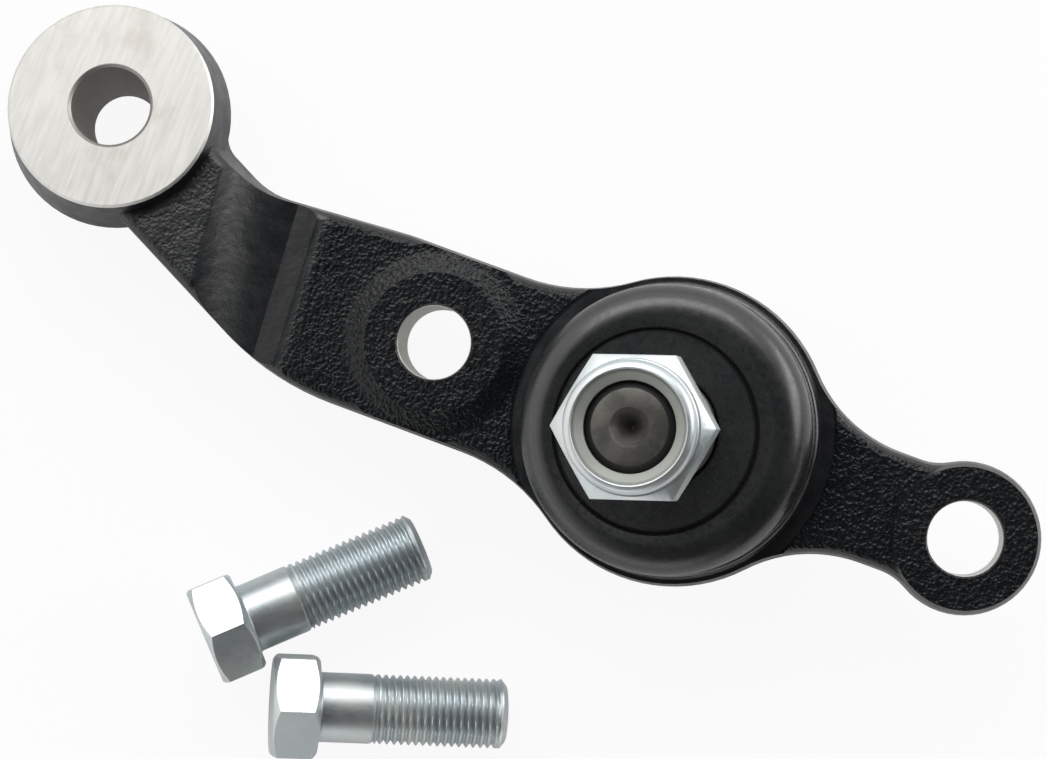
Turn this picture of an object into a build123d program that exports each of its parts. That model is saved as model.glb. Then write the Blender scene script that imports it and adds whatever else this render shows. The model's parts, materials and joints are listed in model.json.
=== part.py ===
"""Lower suspension ball joint with a forged steering arm, and its two mounting bolts.

Millimetres. The origin lies midway between the two bolt holes, on the face that
bolts to the steering knuckle. +X runs from the steering arm's side to the small
eye, and +Z points along the ball stud's side, away from the knuckle.
"""
from build123d import *
from math import asin, atan2, cos, degrees, radians, sin, sqrt, tan
import os

os.makedirs("parts", exist_ok=True)

# ---- knuckle interface -------------------------------------------------------
BOLT_PITCH = 95.0          # between the two knuckle bolt holes
BOLT_HOLE_D = 12.5
PAD_HEIGHT = 13.5          # from the knuckle face to the bolt heads' seats
PAD_RISE = 1.0             # a machined pad stands this proud of the forging
MOUND_RISE = 1.6           # rounded seat round the hole in the bar
MOUND_TOP_R = 11.9
MOUND_FOOT_R = 15.4
MOUND_BLEND_R = 4.0
FORGING_DRAFT = 6.0        # degrees, from the parting line up and down
FORGING_EDGE_R = 1.8       # rounded edges of the forging
PAD_DRAFT = 15.0           # degrees, flanks of the machined pads
KNUCKLE_PAD_R = 12.2       # machined pads on the knuckle's side

# ---- bar, eye and web --------------------------------------------------------
EYE_R = 13.0
EYE_PAD_R = 12.0
WEB_WIDTH = 20.0           # between the housing and the eye
BAR_TOP_Y = 15.95
BAR_BOTTOM_Y = -15.95
HOUSING_BLEND_R = 30.0     # the bar runs into the housing with this radius
WEB_BLEND_SHARE = 1.9      # of the gap between housing and eye, the web's radius at the housing
EYE_BLEND_SHARE = 0.72     # and at the eye

# ---- joggled neck and tie-rod boss --------------------------------------------
JOGGLE_START = 23.2        # from the boss's centre; the neck is flat from the boss to here
JOGGLE_START_SKEW = -0.125  # and that edge runs askew, along the arm per width
JOGGLE_END = 39.1          # and the bar from here to the eye
JOGGLE_END_SKEW = -0.06
JOGGLE_RISE = 5.6
HOLLOW_DEPTH = 0.5         # the ramp between them is hollow, and dips below the bar
HOLLOW_SAG = 1.5
HOLLOW_BANK = 3.8          # from its lowest line up to the bar's top
NECK_BEND = 39.6           # the bar's lower edge turns towards the boss here
NECK_BEND_R = 48.0
WAIST = 28.3               # the upper edge is drawn in here, by this much
WAIST_INSET = 1.75
WAIST_R = 14.0
WAIST_START = 54.0         # from the bar's full width here
WAIST_START_R = 30.0
BOSS_ROOT_R = 18.0         # the arm's outline where the boss stands on it
NECK_TOP_MEETS = 1.2       # above the boss's centre, where the upper edge meets that outline
NECK_BOTTOM_MEETS = 5.4    # to the side of its centre, where the lower edge does
BOSS_X = -112.3
BOSS_Y = 18.2
BOSS_HEIGHT = 17.0
BOSS_FACE_R = 17.6
BOSS_PARTING_R = 19.2
BOSS_PARTING_RISE = -1.2   # parting line, from the boss's middle
BOSS_TILT = 7.0            # degrees, about X
BOSS_STEP = 3.3            # the machined face above the neck
BOSS_BLEND_R = 5.0
BOSS_BLEND_SWEEP = 22.0    # degrees of the boss that one blend takes up
TIE_ROD_TAPER = 1.0 / 8.0  # on diameter
TIE_ROD_BORE_D = 13.6      # at the machined face, the large end
FACE_EDGE = 0.4            # small chamfers on machined faces

# ---- ball, stud and its swing ---------------------------------------------------
BALL_X = -4.5
BALL_Z = 9.5
BALL_D = 24.0
BALL_FLAT = 11.2           # the ball is cut flat this far below its centre
STUD_LEAN = 3.4            # degrees from upright, as it lies
STUD_LEAN_AZIMUTH = 212.4  # degrees from +X, the way the stud leans
STUD_NECK_D = 14.0
STUD_SEAT_D = 18.0         # cylinder that the boot's neck grips
STUD_SEAT_START = 15.5     # heights along the stud, from the ball's centre
STUD_SEAT_CONE = 2.0
STUD_TAPER_START = 21.5
STUD_TAPER_LENGTH = 19.0
STUD_TAPER = 1.0 / 8.0
TAPER_MARGIN = 0.3         # small end of the taper outside the thread
STUD_RELIEF = 1.6
RELIEF_DEPTH = 0.9
STUD_END = 62.0
STUD_THREAD_D = 14.0
STUD_CHAMFER = 1.1
CENTRE_DRILL_D = 5.9

# ---- housing --------------------------------------------------------------------
HOUSING_R = 26.4           # at the parting line
PARTING_Z = 6.5
RIM_Z = 17.0
RIM_INSET = 1.7            # the rim is this much smaller than the housing at its widest
RIM_SHOULDER = 2.6         # the boot's bead sits this far below the rim
RIM_LEDGE = 3.3            # width of that shoulder, to the upstanding collar
RIM_EDGE = 0.5
OPENING_HOLD = 0.6         # the opening is this much smaller than the ball, on radius
OPENING_FLARE = 3.2
LIP_HEIGHT = 2.6
BACK_INSET = 4.2
BACK_EDGE = 1.8
SOCKET_WALL = 3.6          # seat between the ball and the socket
COVER_LEDGE = 3.0          # the cover is this much wider than the socket
COVER_THICKNESS = 2.0
COVER_DISH_R = 9.0         # pressed hollow in the middle of the cover
COVER_DISH = 0.6
SWAGE_LIP = 0.9            # rolled over the cover's edge
SWAGE_OVERLAP = 1.6
HOUSING_FOOT_R = 2.5       # fillet where the housing rises from the bar

# ---- seats, plate and spring -------------------------------------------------------
BALL_FIT = 0.05
SEAT_FIT = 0.05
SEAT_SPLIT = 0.3           # between the two seats, at the ball's middle
SEAT_FLOOR = 0.4           # from the ball's lowest reach to the plate
SEAT_POCKET_R = 4.0        # grease pocket through that floor
PLATE_THICKNESS = 1.0
PLATE_PLAY = 0.8           # pressure plate inside the socket
SPRING_THICKNESS = 0.9
SPRING_RISE = 0.8
SPRING_PLAY = 1.2
SPRING_BORE_R = 7.5

# ---- boot and its rings ----------------------------------------------------------
BOOT_INSET = 0.7           # the boot is this much smaller than the rim
BOOT_WALL = 2.0
BOOT_GAP = 0.3             # rubber to metal
BOOT_BULGE_R = 5.3         # outside radius of the rolled wall
BOOT_BULGE_Z = 23.2
BOOT_ROLL_END = 128.0      # degrees round the roll, where it dives under the flange
BOOT_FLANGE_LEDGE = 3.2    # the disc round the stud, outside its ring
BOOT_FLANGE_TOP = 18.8     # height along the stud
BOOT_FLANGE_THICKNESS = 4.6
BOOT_FLANGE_EDGE = 0.5
BASE_WIRE_D = 1.1
BASE_WIRE_RISE = 2.1       # above the shoulder
NECK_RING_WIDTH = 4.4      # from the stud's seat outwards
NECK_RING_THICKNESS = 1.2
NECK_RING_DEPTH = 1.7      # below the flange's top
RING_FIT = 0.06

# ---- locknut and its insert --------------------------------------------------------
NUT_FLATS = 22.0
NUT_HEIGHT = 14.0
NUT_HEX_HEIGHT = 9.6
NUT_COLLAR_R = 10.2
NUT_PROUD = 1.6            # the collar's top above the stud's end
NUT_CHAMFER = 30.0
NUT_CORNER_AZIMUTH = 18.9  # degrees from +X, where one corner points
NUT_COLLAR_FILLET = 1.0
THREAD_FIT = 0.06
INSERT_R = 9.2
INSERT_HEIGHT = 3.0
INSERT_DISH = 0.9
INSERT_FIT = 0.04
LIP_R = 8.7
LIP_THICKNESS = 0.8

# ---- mounting bolts ------------------------------------------------------------------
BOLT_D = 12.0
BOLT_FLATS = 17.0
BOLT_HEAD = 8.0
BOLT_LENGTH = 32.5         # under the head
BOLT_SHANK = 9.7
BOLT_THREAD_PITCH = 1.25
BOLT_THREAD_DEPTH = 0.68
BOLT_TIP = 1.3
BOLT_TIP_SLOPE = 0.8       # chamfer, radius lost per length
BENCH_TOUCH = 130.0        # degrees round the boss's back, where it meets a bench
BOLT_A_TIP = (-15.0, -33.8)  # on the bench, from where the housing meets it
BOLT_A_YAW = 43.1          # degrees, head to tip
BOLT_B_TIP = (8.8, -56.2)
BOLT_B_YAW = 17.3

FACES_UP = 0.5             # a face whose normal rises more than this faces up
ROOT_3 = sqrt(3)           # a hexagon's flats to its corners
HEX_BLANK = 1.1            # turned blank, as a share of the corners' radius
HEX_FACE = 0.96            # its end face, as a share of the flats' radius


def axial(base):
    """Sketch plane through a base plane's axis: its x is a radius, its y the axis."""
    return Plane(origin=base.origin, x_dir=base.x_dir, z_dir=-base.y_dir)


def axis_of(base):
    return Axis(base.origin, base.z_dir)


def hexagon_trim(base, across_flats, height, angle):
    """Turned blank up to a height, which takes a hexagon's corners off at that end."""
    corner = across_flats / ROOT_3 * HEX_BLANK
    flat = across_flats / 2 * HEX_FACE
    reach = across_flats * 2
    with BuildPart() as blank:
        with BuildSketch(axial(base)):
            with BuildLine():
                Polyline(
                    (0, -reach),
                    (corner, -reach),
                    (corner, height - (corner - flat) * tan(radians(angle))),
                    (flat, height),
                    (0, height),
                    close=True,
                )
            make_face()
        revolve(axis=axis_of(base))
    return blank.part


# Planes that the pieces share.
ball_centre = Vector(BALL_X, 0, BALL_Z)
upright = Plane(origin=ball_centre, x_dir=(1, 0, 0), z_dir=(0, 0, 1))
lean_direction = Vector(cos(radians(STUD_LEAN_AZIMUTH)), sin(radians(STUD_LEAN_AZIMUTH)), 0)
stud_direction = lean_direction * sin(radians(STUD_LEAN)) + Vector(0, 0, cos(radians(STUD_LEAN)))
swing_direction = Vector(0, 0, 1).cross(lean_direction)
stud_plane = Plane(origin=ball_centre, x_dir=swing_direction, z_dir=stud_direction)

BAR_TOP_Z = PAD_HEIGHT - MOUND_RISE
BAR_BOTTOM_Z = PAD_RISE
BAR_THICKNESS = BAR_TOP_Z - BAR_BOTTOM_Z
EYE_X = BOLT_PITCH / 2
BALL_R = BALL_D / 2

JOGGLE_START_X = BOSS_X + JOGGLE_START
JOGGLE_END_X = BOSS_X + JOGGLE_END
boss_tilt = radians(BOSS_TILT)
boss_normal = Vector(0, sin(boss_tilt), cos(boss_tilt))
neck_top_z = BAR_TOP_Z + JOGGLE_RISE
boss_centre = Vector(BOSS_X, BOSS_Y, neck_top_z) + boss_normal * (BOSS_STEP - BOSS_HEIGHT / 2)
boss_plane = Plane(origin=boss_centre, x_dir=(1, 0, 0), z_dir=boss_normal)

# Radii that follow from the housing and the ball.
RIM_R = HOUSING_R - RIM_INSET
RIM_COLLAR_R = RIM_R - RIM_LEDGE
BACK_R = HOUSING_R - BACK_INSET
SOCKET_R = BALL_R + SOCKET_WALL
COVER_R = SOCKET_R + COVER_LEDGE
PLATE_R = SOCKET_R - PLATE_PLAY
SPRING_R = SOCKET_R - SPRING_PLAY
OPENING_R = BALL_R - OPENING_HOLD
OPENING_FLARE_R = OPENING_R + OPENING_FLARE
BOOT_R = RIM_R - BOOT_INSET
NECK_RING_R = STUD_SEAT_D / 2 + NECK_RING_WIDTH
BOOT_FLANGE_R = NECK_RING_R + BOOT_FLANGE_LEDGE

# Heights of the stack behind the ball.
housing_plane = Plane(origin=(BALL_X, 0, 0), x_dir=(1, 0, 0), z_dir=(0, 0, 1))
bar_hole_plane = Plane(origin=(-EYE_X, 0, 0), x_dir=(1, 0, 0), z_dir=(0, 0, 1))
SHOULDER_Z = RIM_Z - RIM_SHOULDER
CEILING_Z = RIM_Z - LIP_HEIGHT
PLATE_TOP_Z = BALL_Z - BALL_R - SEAT_FLOOR
SPRING_TOP_Z = PLATE_TOP_Z - PLATE_THICKNESS
COVER_TOP_Z = SPRING_TOP_Z - SPRING_RISE - SPRING_THICKNESS
COVER_BACK_Z = COVER_TOP_Z - COVER_THICKNESS
BACK_Z = COVER_BACK_Z - SWAGE_LIP

# The housing's wall where it passes the bar's two faces.
foot_r = HOUSING_R - RIM_INSET * (BAR_TOP_Z - PARTING_Z) / (SHOULDER_Z - PARTING_Z)
back_foot_r = HOUSING_R - BACK_INSET * (PARTING_Z - BAR_BOTTOM_Z) / (PARTING_Z - BACK_Z)

# The bench it lies on, through the housing's back edge and the boss's back edge.
boss_touch = (
    boss_centre
    - boss_normal * (BOSS_HEIGHT / 2)
    + boss_plane.x_dir * (BOSS_FACE_R * cos(radians(BENCH_TOUCH)))
    + boss_plane.y_dir * (BOSS_FACE_R * sin(radians(BENCH_TOUCH)))
)
housing_touch = Vector(BALL_X - BACK_R + BACK_EDGE, 0, BACK_Z)
bench_tilt = atan2(boss_touch.Z - housing_touch.Z, housing_touch.X - boss_touch.X)
bench_plane = Plane(
    origin=housing_touch,
    x_dir=(cos(bench_tilt), 0, -sin(bench_tilt)),
    z_dir=(sin(bench_tilt), 0, cos(bench_tilt)),
)

# ---- knuckle_arm -------------------------------------------------------------------------
top_meets = Vector(sqrt(BOSS_ROOT_R**2 - NECK_TOP_MEETS**2), NECK_TOP_MEETS)
bottom_meets = Vector(NECK_BOTTOM_MEETS, -sqrt(BOSS_ROOT_R**2 - NECK_BOTTOM_MEETS**2))
neck_top_end = Vector(BOSS_X, BOSS_Y) + top_meets
neck_bottom_end = Vector(BOSS_X, BOSS_Y) + bottom_meets
web_gap = EYE_X - EYE_R - BALL_X - HOUSING_R
waist_start = (BOSS_X + WAIST_START, BAR_TOP_Y)
waist = (BOSS_X + WAIST, BAR_TOP_Y - WAIST_INSET)
neck_bend = (BOSS_X + NECK_BEND, BAR_BOTTOM_Y)
outline_corners = [
    (waist_start, WAIST_START_R),
    (waist, WAIST_R),
    (neck_bend, NECK_BEND_R),
    (neck_top_end, BOSS_BLEND_R),
    (neck_bottom_end, BOSS_BLEND_R),
]
for y in (BAR_TOP_Y, BAR_BOTTOM_Y):
    outline_corners.append(((BALL_X - sqrt(HOUSING_R**2 - y**2), y), HOUSING_BLEND_R))
for y in (WEB_WIDTH / 2, -WEB_WIDTH / 2):
    outline_corners.append(((BALL_X + sqrt(HOUSING_R**2 - y**2), y), web_gap * WEB_BLEND_SHARE))
    outline_corners.append(((EYE_X - sqrt(EYE_R**2 - y**2), y), web_gap * EYE_BLEND_SHARE))

with BuildSketch(Plane.XY.offset(PARTING_Z)) as arm_outline:
    with Locations((BALL_X, 0)):
        Circle(HOUSING_R)
    with Locations((EYE_X, 0)):
        Circle(EYE_R)
    with Locations(((BALL_X + EYE_X) / 2, 0)):
        Rectangle(EYE_X - BALL_X, WEB_WIDTH)
    with BuildLine():
        Polyline(
            (BALL_X, BAR_TOP_Y),
            waist_start,
            waist,
            neck_top_end,
            (BOSS_X, BOSS_Y),
            neck_bottom_end,
            neck_bend,
            (BALL_X, BAR_BOTTOM_Y),
            close=True,
        )
    make_face()
    with Locations((BOSS_X, BOSS_Y)):
        Circle(BOSS_ROOT_R)
    for corner, radius in outline_corners:
        fillet(arm_outline.vertices().sort_by_distance(corner)[0], radius)
    # The far side of the boss is left to the boss itself, which is tilted.
    upper_ray = (top_meets * 3).rotate(Axis.Z, BOSS_BLEND_SWEEP)
    lower_ray = (bottom_meets * 3).rotate(Axis.Z, -BOSS_BLEND_SWEEP)
    with BuildLine(mode=Mode.PRIVATE) as far_side:
        Polyline(
            (BOSS_X, BOSS_Y),
            (BOSS_X + upper_ray.X, BOSS_Y + upper_ray.Y),
            (BOSS_X - upper_ray.X, BOSS_Y + upper_ray.Y),
            (BOSS_X - upper_ray.X, BOSS_Y + lower_ray.Y),
            (BOSS_X + lower_ray.X, BOSS_Y + lower_ray.Y),
            close=True,
        )
    make_face(far_side.edges(), mode=Mode.SUBTRACT)


# Side form of the arm: the flat bar, the joggle with its twist, and the neck's flat.
SIDE_REACH = 90.0          # wider than the outline, which trims it
neck_line = Vector(JOGGLE_START_SKEW, cos(boss_tilt), -sin(boss_tilt)).normalized()
bar_line = Vector(JOGGLE_END_SKEW, 1, 0).normalized()
neck_side = Plane(
    origin=(JOGGLE_START_X + JOGGLE_START_SKEW * BOSS_Y, BOSS_Y, neck_top_z),
    x_dir=neck_line,
    z_dir=neck_line.cross(boss_normal),
)
bar_side = Plane(
    origin=(JOGGLE_END_X + JOGGLE_END_SKEW * BOSS_Y, BOSS_Y, BAR_TOP_Z),
    x_dir=bar_line,
    z_dir=bar_line.cross(Vector(0, 0, 1)),
)


def hollow_section(y):
    """Profile across the arm at y of what is taken out over the ramp."""
    start = (JOGGLE_START_X + JOGGLE_START_SKEW * y, neck_top_z - tan(boss_tilt) * (y - BOSS_Y))
    rise = (JOGGLE_END_X + JOGGLE_END_SKEW * y, BAR_TOP_Z)
    lowest = (rise[0] - HOLLOW_BANK, BAR_TOP_Z - HOLLOW_DEPTH)
    above = neck_top_z + SIDE_REACH
    with BuildSketch(Plane(origin=(0, y, 0), x_dir=(1, 0, 0), z_dir=(0, -1, 0))) as section:
        with BuildLine():
            SagittaArc(start, lowest, -HOLLOW_SAG)
            Polyline(lowest, rise, (rise[0], above), (start[0], above), start)
        make_face()
    return section.sketch


with BuildPart() as ramp_hollow:
    loft(sections=[hollow_section(-SIDE_REACH / 2), hollow_section(SIDE_REACH / 2)], ruled=True)

with BuildSketch(bar_side) as bar_section:
    with Locations((0, -BAR_THICKNESS / 2)):
        Rectangle(SIDE_REACH, BAR_THICKNESS)
with BuildSketch(neck_side) as neck_section:
    with Locations((0, -BAR_THICKNESS / 2)):
        Rectangle(SIDE_REACH, BAR_THICKNESS)

with BuildPart() as side_form:
    loft(sections=[bar_section.sketch, neck_section.sketch], ruled=True)
    extrude(bar_section.sketch, amount=EYE_X + EYE_R - JOGGLE_END_X + PAD_HEIGHT, dir=(1, 0, 0))
    extrude(neck_section.sketch, amount=JOGGLE_START_X - BOSS_X, dir=(-1, 0, 0))

with BuildPart() as forged_walls:
    extrude(arm_outline.sketch, amount=BOSS_HEIGHT, taper=FORGING_DRAFT)
    extrude(arm_outline.sketch, amount=BOSS_HEIGHT, dir=(0, 0, -1), taper=FORGING_DRAFT)


def rim_edges(faces):
    """Edges that only one of the faces has."""
    edges = [edge for face in faces for edge in face.edges()]
    return [edge for edge in edges if sum(edge.is_same(other) for other in edges) == 1]


# Bar, neck and web, with their edges rounded and the ramp hollowed.
with BuildPart() as bar_forging:
    add(forged_walls.part)
    add(side_form.part, mode=Mode.INTERSECT)
    upper_faces = bar_forging.faces().filter_by(lambda face: face.normal_at().Z > FACES_UP)
    lower_faces = bar_forging.faces().filter_by(lambda face: face.normal_at().Z < -FACES_UP)
    lower_rim = [edge for edge in rim_edges(lower_faces) if edge.center().X > JOGGLE_END_X]
    fillet(rim_edges(upper_faces), FORGING_EDGE_R)
    fillet(lower_rim, FORGING_EDGE_R)
    add(ramp_hollow.part, mode=Mode.SUBTRACT)

# What rises from the bar and shares its drafted walls.
with BuildPart() as raised_forms:
    # Rounded mound round the hole in the bar.
    with BuildSketch(axial(bar_hole_plane)):
        with BuildLine():
            Polyline(
                (0, PARTING_Z),
                (MOUND_FOOT_R + MOUND_RISE, PARTING_Z),
                (MOUND_FOOT_R + MOUND_RISE, BAR_TOP_Z),
                (MOUND_FOOT_R, BAR_TOP_Z),
                (MOUND_TOP_R, PAD_HEIGHT),
                (0, PAD_HEIGHT),
                close=True,
            )
        mound_face = make_face()
        for corner in ((MOUND_FOOT_R, BAR_TOP_Z), (MOUND_TOP_R, PAD_HEIGHT)):
            fillet(mound_face.vertices().sort_by_distance(corner)[0], MOUND_BLEND_R)
    revolve(axis=axis_of(bar_hole_plane))
    # Housing, turned about the ball's axis, with a flare where it rises from the bar.
    with BuildSketch(axial(housing_plane)):
        with BuildLine():
            Polyline(
                (0, BACK_Z),
                (BACK_R, BACK_Z),
                (back_foot_r, BAR_BOTTOM_Z),
                (back_foot_r, PARTING_Z),
                (foot_r + HOUSING_FOOT_R, PARTING_Z),
                (foot_r + HOUSING_FOOT_R, BAR_TOP_Z),
                (foot_r, BAR_TOP_Z),
                (RIM_R, SHOULDER_Z),
                (RIM_COLLAR_R, SHOULDER_Z),
                (RIM_COLLAR_R, RIM_Z),
                (0, RIM_Z),
                close=True,
            )
        housing_face = make_face()
        fillet(housing_face.vertices().sort_by_distance((BACK_R, BACK_Z))[0], BACK_EDGE)
        fillet(housing_face.vertices().sort_by_distance((foot_r, BAR_TOP_Z))[0], HOUSING_FOOT_R)
        chamfer(housing_face.vertices().sort_by_distance((RIM_R, SHOULDER_Z))[0], RIM_EDGE)
    revolve(axis=axis_of(housing_plane))
    add(forged_walls.part, mode=Mode.INTERSECT)

# ---- knuckle_arm -------------------------------------------------------------------------
with BuildPart() as knuckle_arm:
    add(bar_forging.part)
    add(raised_forms.part)
    # Machined pads: the small eye's bolt seat, and both on the knuckle's side.
    with BuildSketch(Plane.XY.offset(PAD_HEIGHT)):
        with Locations((EYE_X, 0)):
            Circle(EYE_PAD_R)
    extrude(amount=MOUND_RISE + FACE_EDGE, dir=(0, 0, -1), taper=-PAD_DRAFT)
    with BuildSketch(Plane.XY):
        with Locations((-EYE_X, 0)):
            Circle(KNUCKLE_PAD_R)
        with Locations((EYE_X, 0)):
            Circle(EYE_PAD_R)
    extrude(amount=PAD_RISE + FACE_EDGE, taper=-PAD_DRAFT)
    # Tie-rod boss, turned about its own tilted axis.
    with BuildSketch(axial(boss_plane)):
        with BuildLine():
            Polyline(
                (0, -BOSS_HEIGHT / 2),
                (BOSS_FACE_R - FACE_EDGE, -BOSS_HEIGHT / 2),
                (BOSS_FACE_R, FACE_EDGE - BOSS_HEIGHT / 2),
                (BOSS_PARTING_R, BOSS_PARTING_RISE),
                (BOSS_FACE_R, BOSS_HEIGHT / 2 - FACE_EDGE),
                (BOSS_FACE_R - FACE_EDGE, BOSS_HEIGHT / 2),
                (0, BOSS_HEIGHT / 2),
                close=True,
            )
        make_face()
    revolve(axis=axis_of(boss_plane))
    # Bores.
    for x in (-EYE_X, EYE_X):
        with Locations((x, 0, PAD_HEIGHT)):
            CounterSinkHole(BOLT_HOLE_D / 2, BOLT_HOLE_D / 2 + FACE_EDGE, counter_sink_angle=90)
    bore_r = TIE_ROD_BORE_D / 2
    with BuildSketch(axial(boss_plane)):
        with BuildLine():
            Polyline(
                (0, -BOSS_HEIGHT),
                (bore_r - BOSS_HEIGHT * 1.5 * TIE_ROD_TAPER / 2, -BOSS_HEIGHT),
                (bore_r - FACE_EDGE * TIE_ROD_TAPER / 2, BOSS_HEIGHT / 2 - FACE_EDGE),
                (bore_r + FACE_EDGE, BOSS_HEIGHT / 2),
                (bore_r + FACE_EDGE, BOSS_HEIGHT),
                (0, BOSS_HEIGHT),
                close=True,
            )
        make_face()
    revolve(axis=axis_of(boss_plane), mode=Mode.SUBTRACT)
    with BuildSketch(axial(housing_plane)):
        with BuildLine():
            Polyline(
                (0, BACK_Z - SWAGE_LIP),
                (COVER_R - SWAGE_OVERLAP, BACK_Z - SWAGE_LIP),
                (COVER_R - SWAGE_OVERLAP, COVER_BACK_Z),
                (COVER_R, COVER_BACK_Z),
                (COVER_R, COVER_TOP_Z),
                (SOCKET_R, COVER_TOP_Z),
                (SOCKET_R, CEILING_Z),
                (OPENING_R, CEILING_Z),
                (OPENING_R, CEILING_Z + FACE_EDGE),
                (OPENING_FLARE_R, RIM_Z),
                (OPENING_FLARE_R, RIM_Z + RIM_EDGE),
                (0, RIM_Z + RIM_EDGE),
                close=True,
            )
        make_face()
    revolve(axis=axis_of(housing_plane), mode=Mode.SUBTRACT)

# ---- upper_seat and lower_seat -------------------------------------------------------------
seat_r = BALL_R + BALL_FIT
seat_outer_r = SOCKET_R - SEAT_FIT
upper_top = CEILING_Z - BALL_Z - SEAT_FIT
upper_bottom = SEAT_SPLIT / 2
pocket_rim = -sqrt(seat_r**2 - SEAT_POCKET_R**2)
lower_bottom = PLATE_TOP_Z - BALL_Z
with BuildPart() as upper_seat:
    with BuildSketch(axial(upright)):
        with BuildLine():
            CenterArc((0, 0), seat_r, degrees(asin(upper_bottom / seat_r)),
                      degrees(asin(upper_top / seat_r) - asin(upper_bottom / seat_r)))
            Polyline(
                (sqrt(seat_r**2 - upper_bottom**2), upper_bottom),
                (seat_outer_r, upper_bottom),
                (seat_outer_r, upper_top),
                (sqrt(seat_r**2 - upper_top**2), upper_top),
            )
        make_face()
    revolve(axis=axis_of(upright))

with BuildPart() as lower_seat:
    with BuildSketch(axial(upright)):
        with BuildLine():
            CenterArc((0, 0), seat_r, degrees(asin(pocket_rim / seat_r)),
                      degrees(asin(-upper_bottom / seat_r) - asin(pocket_rim / seat_r)))
            Polyline(
                (sqrt(seat_r**2 - upper_bottom**2), -upper_bottom),
                (seat_outer_r, -upper_bottom),
                (seat_outer_r, lower_bottom),
                (SEAT_POCKET_R, lower_bottom),
                (SEAT_POCKET_R, pocket_rim),
            )
        make_face()
    revolve(axis=axis_of(upright))

# ---- pressure_plate, preload_spring and cover_plate -----------------------------------------
with BuildPart() as pressure_plate:
    with BuildSketch(housing_plane.offset(SPRING_TOP_Z)):
        Circle(PLATE_R)
    extrude(amount=PLATE_THICKNESS)
    chamfer(pressure_plate.edges(), PLATE_THICKNESS / 5)

with BuildPart() as preload_spring:
    with BuildSketch(axial(housing_plane)):
        with BuildLine():
            Polyline(
                (SPRING_BORE_R, SPRING_TOP_Z),
                (SPRING_R, SPRING_TOP_Z - SPRING_RISE),
                (SPRING_R, COVER_TOP_Z),
                (SPRING_BORE_R, SPRING_TOP_Z - SPRING_THICKNESS),
                close=True,
            )
        make_face()
    revolve(axis=axis_of(housing_plane))

with BuildPart() as cover_plate:
    with BuildSketch(axial(housing_plane)):
        with BuildLine():
            Polyline(
                (0, COVER_TOP_Z),
                (COVER_R - SEAT_FIT, COVER_TOP_Z),
                (COVER_R - SEAT_FIT, COVER_BACK_Z),
                (COVER_DISH_R + COVER_DISH, COVER_BACK_Z),
                (COVER_DISH_R, COVER_BACK_Z + COVER_DISH),
                (0, COVER_BACK_Z + COVER_DISH),
                close=True,
            )
        make_face()
    revolve(axis=axis_of(housing_plane))

# ---- ball_stud ---------------------------------------------------------------------------------
neck_r = STUD_NECK_D / 2
stud_r = STUD_THREAD_D / 2
taper_end = STUD_TAPER_START + STUD_TAPER_LENGTH
taper_small_r = stud_r + TAPER_MARGIN
taper_large_r = taper_small_r + STUD_TAPER_LENGTH * STUD_TAPER / 2
neck_meets = sqrt(BALL_R**2 - neck_r**2)
with BuildPart() as ball_stud:
    with BuildSketch(axial(stud_plane)):
        with BuildLine():
            CenterArc((0, 0), BALL_R, degrees(asin(-BALL_FLAT / BALL_R)),
                      degrees(asin(BALL_FLAT / BALL_R) + asin(neck_meets / BALL_R)))
            Polyline(
                (neck_r, neck_meets),
                (neck_r, STUD_SEAT_START - STUD_SEAT_CONE),
                (STUD_SEAT_D / 2, STUD_SEAT_START),
                (STUD_SEAT_D / 2, STUD_TAPER_START),
                (taper_large_r, STUD_TAPER_START),
                (taper_small_r, taper_end),
                (stud_r - RELIEF_DEPTH, taper_end),
                (stud_r - RELIEF_DEPTH, taper_end + STUD_RELIEF),
                (stud_r, taper_end + STUD_RELIEF + RELIEF_DEPTH),
                (stud_r, STUD_END - STUD_CHAMFER),
                (stud_r - STUD_CHAMFER, STUD_END),
                (CENTRE_DRILL_D / 2, STUD_END),
                (0, STUD_END - CENTRE_DRILL_D / 2 * ROOT_3),
                (0, -BALL_FLAT),
                (sqrt(BALL_R**2 - BALL_FLAT**2), -BALL_FLAT),
            )
        make_face()
    revolve(axis=axis_of(stud_plane))

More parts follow.
